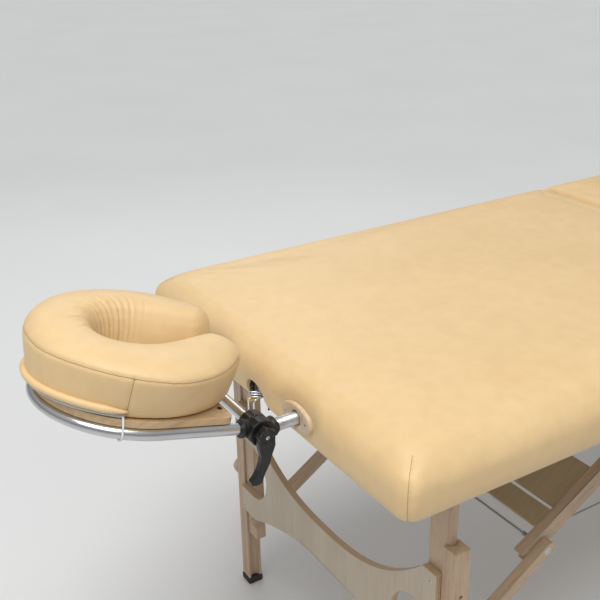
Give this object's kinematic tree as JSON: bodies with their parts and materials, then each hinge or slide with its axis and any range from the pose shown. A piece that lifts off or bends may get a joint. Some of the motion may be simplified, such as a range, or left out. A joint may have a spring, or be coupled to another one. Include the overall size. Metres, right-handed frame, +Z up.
{
  "type": "portable massage table",
  "caption": "Folding wooden massage table with padded beige top, cable-braced adjustable legs and a tilting crescent face cradle on two prongs.",
  "frame": {"origin": "centre of the whole object's box at floor level", "axes": "+X along the table from the face cradle (head end) to the foot end, +Y to the far long side, +Z up"},
  "size_m": [2.1548, 0.72, 0.8098],
  "materials": {
    "leatherette": "satin",
    "hardwood": "satin varnish",
    "plywood": "satin varnish",
    "aluminium": "polished",
    "steel": "zinc plated",
    "clamp_plastic": "matte",
    "foot_rubber": "matte"
  },
  "bodies": {
    "head_panel": {"head_rail_frame": "hardwood", "head_deck_board": "plywood", "head_cushion": "leatherette", "prong_grommet_near": "hardwood", "prong_grommet_far": "hardwood", "latch_plate": "steel", "head_hinge_leaf": "steel", "hinge_pin": "steel"},
    "foot_panel": {"foot_rail_frame": "hardwood", "foot_deck_board": "plywood", "foot_cushion": "leatherette", "foot_hinge_leaf": "steel"},
    "head_legs": {"head_leg_near": "hardwood", "head_leg_far": "hardwood", "head_end_panel": "plywood"},
    "head_lower_braces": {"head_lower_brace_near": "hardwood", "head_lower_brace_far": "hardwood"},
    "head_upper_frame": {"head_upper_brace_near": "hardwood", "head_upper_brace_far": "hardwood", "head_cross_board_1": "plywood", "head_cross_board_2": "plywood", "head_knee_cable": "steel"},
    "head_cables": {"head_cable_near": "steel", "head_cable_far": "steel"},
    "head_extension_near": {"head_extension_near": "hardwood", "head_foot_near": "foot_rubber"},
    "head_knob_near": {"head_knob_near": "hardwood"},
    "head_extension_far": {"head_extension_far": "hardwood", "head_foot_far": "foot_rubber"},
    "head_knob_far": {"head_knob_far": "hardwood"},
    "foot_legs": {"foot_leg_near": "hardwood", "foot_leg_far": "hardwood", "foot_end_panel": "plywood"},
    "foot_lower_braces": {"foot_lower_brace_near": "hardwood", "foot_lower_brace_far": "hardwood"},
    "foot_upper_frame": {"foot_upper_brace_near": "hardwood", "foot_upper_brace_far": "hardwood", "foot_cross_board_1": "plywood", "foot_cross_board_2": "plywood", "foot_knee_cable": "steel"},
    "foot_cables": {"foot_cable_near": "steel", "foot_cable_far": "steel"},
    "foot_extension_near": {"foot_extension_near": "hardwood", "foot_foot_near": "foot_rubber"},
    "foot_knob_near": {"foot_knob_near": "hardwood"},
    "foot_extension_far": {"foot_extension_far": "hardwood", "foot_foot_far": "foot_rubber"},
    "foot_knob_far": {"foot_knob_far": "hardwood"},
    "cradle_base": {"base_clamp_near": "clamp_plastic", "base_clamp_far": "clamp_plastic", "prong_near": "aluminium", "prong_far": "aluminium"},
    "cradle_hoop": {"hoop_clamp_near": "clamp_plastic", "hoop_clamp_far": "clamp_plastic", "cross_tube": "aluminium", "hoop_tube": "aluminium", "platform": "plywood", "face_pad": "leatherette"},
    "clamp_lever": {"clamp_lever": "clamp_plastic"},
    "latch_bail": {"latch_bail": "steel"}
  },
  "joints": [
    {"name": "centre_fold", "type": "hinge", "parent": "head_panel", "child": "foot_panel", "pos_m": [0.1644, 0, 0.6035], "axis": [0, 1, 0], "range_deg": [0, 85], "deforming": ["head_cable_near", "head_cable_far", "foot_cable_near", "foot_cable_far"]},
    {"name": "head_leg_fold", "type": "hinge", "parent": "head_panel", "child": "head_legs", "pos_m": [-0.6136, 0, 0.622], "axis": [0, -1, 0], "range_deg": [0, 90]},
    {"name": "head_lower_brace_fold", "type": "hinge", "parent": "head_legs", "child": "head_lower_braces", "pos_m": [-0.6136, 0, 0.188], "axis": [0, -1, 0], "range_deg": [0, 56.93]},
    {"name": "head_upper_brace_fold", "type": "hinge", "parent": "head_panel", "child": "head_upper_frame", "pos_m": [0.0964, 0, 0.622], "axis": [0, -1, 0], "range_deg": [-30.62, 0]},
    {"name": "head_cable_swing", "type": "hinge", "parent": "head_upper_frame", "child": "head_cables", "pos_m": [-0.38052, 0, 0.33985], "axis": [0, -1, 0], "range_deg": [0, 30.62]},
    {"name": "head_extension_slide_near", "type": "slide", "parent": "head_legs", "child": "head_extension_near", "axis": [0, 0, -1], "range_m": [-0.05, 0.13]},
    {"name": "head_knob_turn_near", "type": "hinge", "parent": "head_legs", "child": "head_knob_near", "pos_m": [-0.6136, -0.324, 0.262], "axis": [0, -1, 0], "continuous": true},
    {"name": "head_extension_slide_far", "type": "slide", "parent": "head_legs", "child": "head_extension_far", "axis": [0, 0, -1], "range_m": [-0.05, 0.13]},
    {"name": "head_knob_turn_far", "type": "hinge", "parent": "head_legs", "child": "head_knob_far", "pos_m": [-0.6136, 0.324, 0.262], "axis": [0, 1, 0], "continuous": true},
    {"name": "foot_leg_fold", "type": "hinge", "parent": "foot_panel", "child": "foot_legs", "pos_m": [0.9424, 0, 0.622], "axis": [0, 1, 0], "range_deg": [0, 90]},
    {"name": "foot_lower_brace_fold", "type": "hinge", "parent": "foot_legs", "child": "foot_lower_braces", "pos_m": [0.9424, 0, 0.188], "axis": [0, 1, 0], "range_deg": [0, 56.93]},
    {"name": "foot_upper_brace_fold", "type": "hinge", "parent": "foot_panel", "child": "foot_upper_frame", "pos_m": [0.2324, 0, 0.622], "axis": [0, 1, 0], "range_deg": [-30.62, 0]},
    {"name": "foot_cable_swing", "type": "hinge", "parent": "foot_upper_frame", "child": "foot_cables", "pos_m": [0.70932, 0, 0.33985], "axis": [0, 1, 0], "range_deg": [0, 30.62]},
    {"name": "foot_extension_slide_near", "type": "slide", "parent": "foot_legs", "child": "foot_extension_near", "axis": [0, 0, -1], "range_m": [-0.05, 0.13]},
    {"name": "foot_knob_turn_near", "type": "hinge", "parent": "foot_legs", "child": "foot_knob_near", "pos_m": [0.9424, -0.324, 0.262], "axis": [0, -1, 0], "continuous": true},
    {"name": "foot_extension_slide_far", "type": "slide", "parent": "foot_legs", "child": "foot_extension_far", "axis": [0, 0, -1], "range_m": [-0.05, 0.13]},
    {"name": "foot_knob_turn_far", "type": "hinge", "parent": "foot_legs", "child": "foot_knob_far", "pos_m": [0.9424, 0.324, 0.262], "axis": [0, 1, 0], "continuous": true},
    {"name": "cradle_slide", "type": "slide", "parent": "head_panel", "child": "cradle_base", "axis": [-1, 0, 0], "range_m": [0, 0.1]},
    {"name": "cradle_tilt", "type": "hinge", "parent": "cradle_base", "child": "cradle_hoop", "pos_m": [-0.8146, 0, 0.642], "axis": [0, 1, 0], "range_deg": [-60, 20]},
    {"name": "lever_turn", "type": "hinge", "parent": "cradle_base", "child": "clamp_lever", "pos_m": [-0.8146, -0.139, 0.642], "axis": [0, 1, 0], "range_deg": [0, 110]},
    {"name": "bail_swing", "type": "hinge", "parent": "head_panel", "child": "latch_bail", "pos_m": [-0.7386, 0, 0.612], "axis": [0, 1, 0], "range_deg": [-45, 100]}
  ],
  "couplings": [
    {"joint": "head_lower_brace_fold", "follows": "head_leg_fold", "ratio": 0.6324},
    {"joint": "head_upper_brace_fold", "follows": "head_leg_fold", "ratio": -0.3401},
    {"joint": "head_cable_swing", "follows": "head_leg_fold", "ratio": 0.3401},
    {"joint": "foot_lower_brace_fold", "follows": "foot_leg_fold", "ratio": 0.6324},
    {"joint": "foot_upper_brace_fold", "follows": "foot_leg_fold", "ratio": -0.3401},
    {"joint": "foot_cable_swing", "follows": "foot_leg_fold", "ratio": 0.3401}
  ]
}
